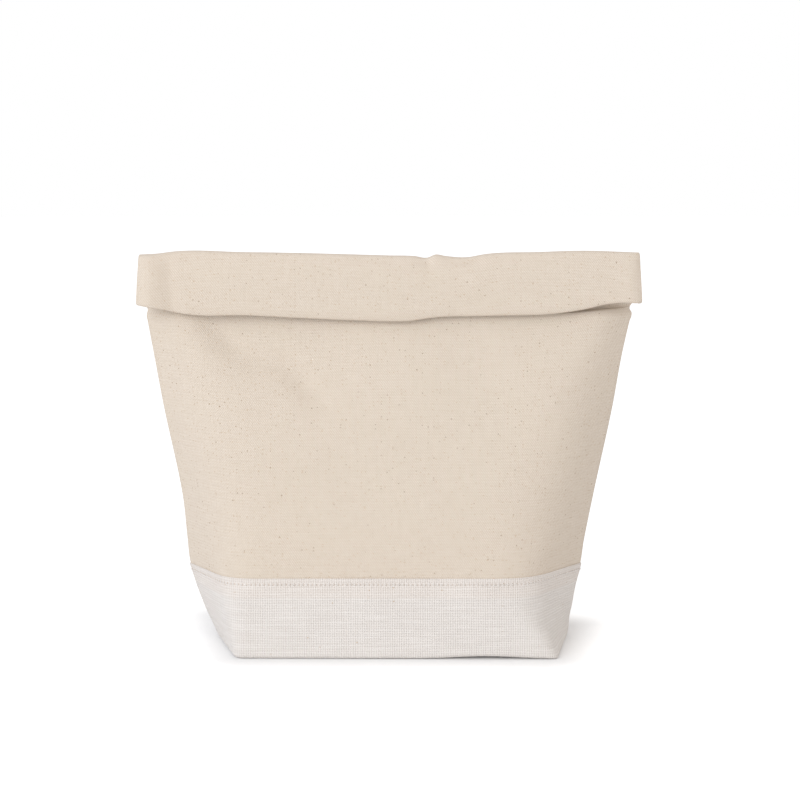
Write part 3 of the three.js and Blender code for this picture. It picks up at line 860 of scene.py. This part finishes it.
cotton = fine_cotton("fine_cotton")
for side, word, face, out, space, across in (
    (FRONT, "front", front_face, front_out, front_room, across_front[:, SEAM_TRIM]),
    (BACK, "back", back_face, back_out, back_room, across_back[:, SEAM_TRIM]),
):
    covered = (slice(0, -LIP_ROWS), SEAM_TRIM)
    inside = lining_length(side, face[covered], out[covered], space[covered], across)
    inside_flat = flat_places(side, inside, across)
    below = len(inside) - len(space[covered])
    thin = np.full(inside.shape[:2], LINING_THICK)
    thin[below:] = np.minimum(LINING_THICK, space[covered] * THIN_SHARE)
    layers = (inside, normals(inside), inside_flat, thin)
    pouch_rows, leaf_rows = slice(0, below + FOLD_FROM + 1 - NECK_JOIN), slice(below + FOLD_TO, None)
    fold_rows = slice(below + FOLD_FROM - NECK_JOIN, below + FOLD_TO + 1)
    strips = fold_strips(f"lining_fold_{word}", fold_rows, layers)
    for strip in strips:
        sewn(strip, cotton, ["fold_lining"], None)
    pouch = cloth(f"lining_pouch_{word}", *part_of(layers, pouch_rows), (1, 0, 1, 1))
    pouch_cut = cut(inside_flat[pouch_rows])
    sewn(pouch, cotton, [f"lining_{word}"], pouch_cut)
    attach(pouch, "bag")
    if side == FRONT:
        leaf = cloth("lining_leaf_front", *part_of(layers, leaf_rows), (0, 1, 1, 1))
        leaf_cut = cut(inside_flat[leaf_rows])
        sewn(leaf, cotton, ["inner_leaf_lining"], leaf_cut)
        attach(leaf, "flap")
        continue
    for hand, way, half, rims in leaf_halves(inside.shape[1]):
        leaf = cloth(f"outer_leaf_lining_{hand}", *part_of(layers, (leaf_rows, half)), rims)
        leaf_cut = cut(inside_flat[leaf_rows, half])
        with_strips = strips if hand == "right" else ()
        sewn(leaf, cotton, ["outer_leaf_lining"], leaf_cut)
        lip_blend(leaf, way)


# Hook and loop tapes: two strips of white woven tape that hold the flap down. The loop tape is sewn to the
# front under the flap, the hook tape to the inner leaf above it, each with a row of stitches round it.
TAPE_THICK = 0.9 * MM
TAPE_SLACK = 0.2 * MM
TAPE_SHARE = 0.379  # half the length of the tapes, as a share of the way to a side seam
LOOP_Z = (196.4 * MM, 210.0 * MM)
HOOK_Z = (196.9 * MM, 210.8 * MM)
LOOP_ROWS, LOOP_COLUMNS = 13, 72
SELVEDGE = 0.35 * MM  # the woven border is thinner than the pile
LOOP_KNOT, LOOP_HIGH = 0.55 * MM, 0.3 * MM
HOOK_KNOT, HOOK_HIGH = 1.1 * MM, 0.5 * MM
PILE_SHADED, PILE_LIGHT = (0.55, 0.52, 0.48, 1), (0.84, 0.81, 0.77, 1)


def pile(name, knot, high):
    """White tape with a woven border and a pile of small knots, with painted shade between the knots."""
    material, (across, along) = on_cloth(name)
    knots = across.node("TexVoronoi", {"voronoi_dimensions": "2D"},
                        {"Vector": spot(across, along, knot, knot), "Scale": 1.0, "Randomness": 0.7})
    fuzz = noise(across, along, 0.5 * MM, 0.5 * MM)
    # The knots' height, with some fuzz, is also the colour: painted shade between the knots.
    tone = 1 - knots + fuzz * 0.4
    dress(material, tone.mix(PILE_SHADED, PILE_LIGHT), fuzz * 0.2 + 0.7, tone, high, 0.2)
    return material


def border(points):
    """The points of a tape one in from its edge, all the way round."""
    return np.concatenate([points[1, 1:-1], points[1:-1, -2], points[-2, -2:0:-1], points[-2:0:-1, 1]])


def tape(name, face, out, node, body, material):
    """A tape on a stretch of cloth, with its border lower than its pile, and the stitches round it."""
    low = np.zeros(face.shape[:2])
    low[:2] = low[-2:] = low[:, :2] = low[:, -2:] = SELVEDGE
    top = face + out * (TAPE_THICK + TAPE_SLACK - low)[..., None]
    flat = flat_places(FRONT, face, face[..., 0] / HALF_MOUTH)
    piece = cloth(name, top, out, flat, TAPE_THICK - low)
    sewn(piece, material, [node], cut(flat))
    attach(piece, body)
    stitched = stitches(name + "_thread", border(top), border(out))
    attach(sewn(stitched, white_thread, [node], None), body)


loop_shares = np.linspace(-TAPE_SHARE, TAPE_SHARE, LOOP_COLUMNS)[None, :]
loop_face = wall(FRONT, loop_shares, np.linspace(*LOOP_Z, LOOP_ROWS)[:, None])
loop_pile = pile("loop_pile", LOOP_KNOT, LOOP_HIGH)
tape("loop_tape_woven", loop_face, normals(loop_face), "loop_tape", "bag", loop_pile)
middle_z = front_face[:, MIDDLE, 2]
on_leaf = np.arange(len(front_face)) > FOLD_TO
hook_rows = np.flatnonzero(on_leaf & (middle_z > HOOK_Z[0]) & (middle_z < HOOK_Z[1]))
hook_columns = np.flatnonzero(np.abs(across_front[0]) < TAPE_SHARE)
hook_place = np.ix_(hook_rows, hook_columns)
hook_pile = pile("hook_pile", HOOK_KNOT, HOOK_HIGH)
tape("hook_tape_woven", front_face[hook_place], front_out[hook_place], "hook_tape", "flap", hook_pile)


# Studio: a pale floor that keeps the bag's soft shadow and glows white to the camera, save in a painted
# shadow round the bag's foot; a white surround, a large soft lamp to the front and the left, and the camera
# in front of the bag, a little above it.
CAMERA_AIM = Vector((3.3 * MM, -30 * MM, 146.8 * MM))
CAMERA_FAR = 1.4
CAMERA_LENS = 110
LOOK_DOWN = math.radians(9)
LAMP_AT, LAMP_AIM = Vector((-1.25, -1.7, 1.0)), Vector((0, 0, 0.1))
LAMP_WIDE, LAMP_POWER = 1.48, 13.2
FLOOR_HALF = 3.0
FLOOR_COLOUR = (0.92, 0.92, 0.92, 1)
FOOT_SIDE, FOOT_SPREAD = 95.5 * MM, 0.16  # half the width of the painted shadow's dark core on the floor, and how it widens to the back
FOOT_FRONT, FOOT_SHORT, FOOT_SKEW = 50 * MM, 14 * MM, 0.1  # its front edge, and the back one, near and askew
PAINTED_SHADOW_REACH = 36 * MM  # from there out to where the painted shadow ends and the floor is white
# The camera's glow on the floor inside the painted shadow, and the glow added out of it.
PAINTED_SHADOW_GLOW, OPEN_GLOW = 0.02, 0.38
SURROUND_LEVEL, SURROUND_SLOPE = 0.745, (-0.07, -0.11, 0.06)  # brighter to the left, the front and the top
SURROUND_LEFT, SURROUND_RIGHT = (0.975, 1.015, 1.085, 1), (1.015, 0.96, 0.905, 1)


def seen_white(tree):
    """1 for what the camera sees, straight, mirrored or through glass, and 0 for light on the bag."""
    rays = ("Camera", "Glossy", "Transmission")
    seen = [Shade(tree).node("LightPath", out=f"Is {ray} Ray") for ray in rays]
    return seen[0].maths("MAXIMUM", seen[1]).maths("MAXIMUM", seen[2])


corners = [(x * FLOOR_HALF, y * FLOOR_HALF, 0) for x, y in ((-1, -1), (1, -1), (1, 1), (-1, 1))]
floor = built("floor", corners, [(0, 1, 2, 3)])
pale = bpy.data.materials.new("pale_floor")
pale.use_nodes = True
surface = pale.node_tree.nodes["Principled BSDF"]
surface.inputs["Roughness"].default_value = 1.0
surface.inputs["Specular IOR Level"].default_value = 0.0
surface.inputs["Base Color"].default_value = FLOOR_COLOUR
surface.inputs["Emission Strength"].default_value = 1.0
seen = seen_white(pale.node_tree)
on_floor = seen.node("TexCoord", out="Object")
to_side, to_back = [seen.node("SeparateXYZ", inputs={"Vector": on_floor}, out=i) for i in range(2)]
# Painted shadow: near the bag's foot the floor glows less for the camera, so it shows grey there, and the
# lamp's real shadow with it.
beside = (to_side.maths("ABSOLUTE") - to_back * FOOT_SPREAD - FOOT_SIDE).maths("MAXIMUM", 0.0)
behind = (to_back + to_side * FOOT_SKEW + FOOT_SHORT).maths("MAXIMUM", 0 - to_back)
behind = (behind - FOOT_FRONT).maths("MAXIMUM", 0.0)
from_bag = (beside * beside + behind * behind).maths("SQRT")
floor_glow_and_painted_shadow = seen * (from_bag.step(0.0, PAINTED_SHADOW_REACH) * OPEN_GLOW + PAINTED_SHADOW_GLOW)
pale.node_tree.links.new(floor_glow_and_painted_shadow.socket, surface.inputs["Emission Color"])
floor.data.materials.append(pale)

world = bpy.data.worlds.new("surround")
bpy.context.scene.world = world
world.use_nodes = True
world.node_tree.nodes.clear()
white = seen_white(world.node_tree)
facing = white.node("TexCoord", out="Generated")
slope = white.node("VectorMath", {"operation": "DOT_PRODUCT"}, {0: facing, 1: SURROUND_SLOPE}, "Value")
to_right = white.node("SeparateXYZ", inputs={"Vector": facing})
tint = (to_right * 0.5 + 0.5).mix(SURROUND_LEFT, SURROUND_RIGHT)
soft = white.node("VectorMath", {"operation": "SCALE"}, {0: tint, "Scale": slope + SURROUND_LEVEL})
fill = white.node("Background", inputs={"Color": soft, "Strength": 1.0})
beyond = white.node("Background", inputs={"Color": (1, 1, 1, 1), "Strength": 1.0})
white.node("OutputWorld", inputs={"Surface": white.node("MixShader", inputs={0: white, 1: fill, 2: beyond})})

light = bpy.data.lights.new("key_lamp", "AREA")
light.shape = "DISK"
light.size = LAMP_WIDE
light.energy = LAMP_POWER
lamp = bpy.data.objects.new("key_lamp", light)
bpy.context.scene.collection.objects.link(lamp)
lamp.location = LAMP_AT
lamp.rotation_euler = (LAMP_AIM - LAMP_AT).to_track_quat("-Z", "Y").to_euler()

lens = bpy.data.cameras.new("camera")
lens.lens = CAMERA_LENS
camera = bpy.data.objects.new("camera", lens)
bpy.context.scene.collection.objects.link(camera)
camera.location = CAMERA_AIM + CAMERA_FAR * Vector((0, -math.cos(LOOK_DOWN), math.sin(LOOK_DOWN)))
camera.rotation_euler = (math.pi / 2 - LOOK_DOWN, 0, 0)
bpy.context.scene.camera = camera
bpy.context.scene.view_settings.view_transform = "Standard"
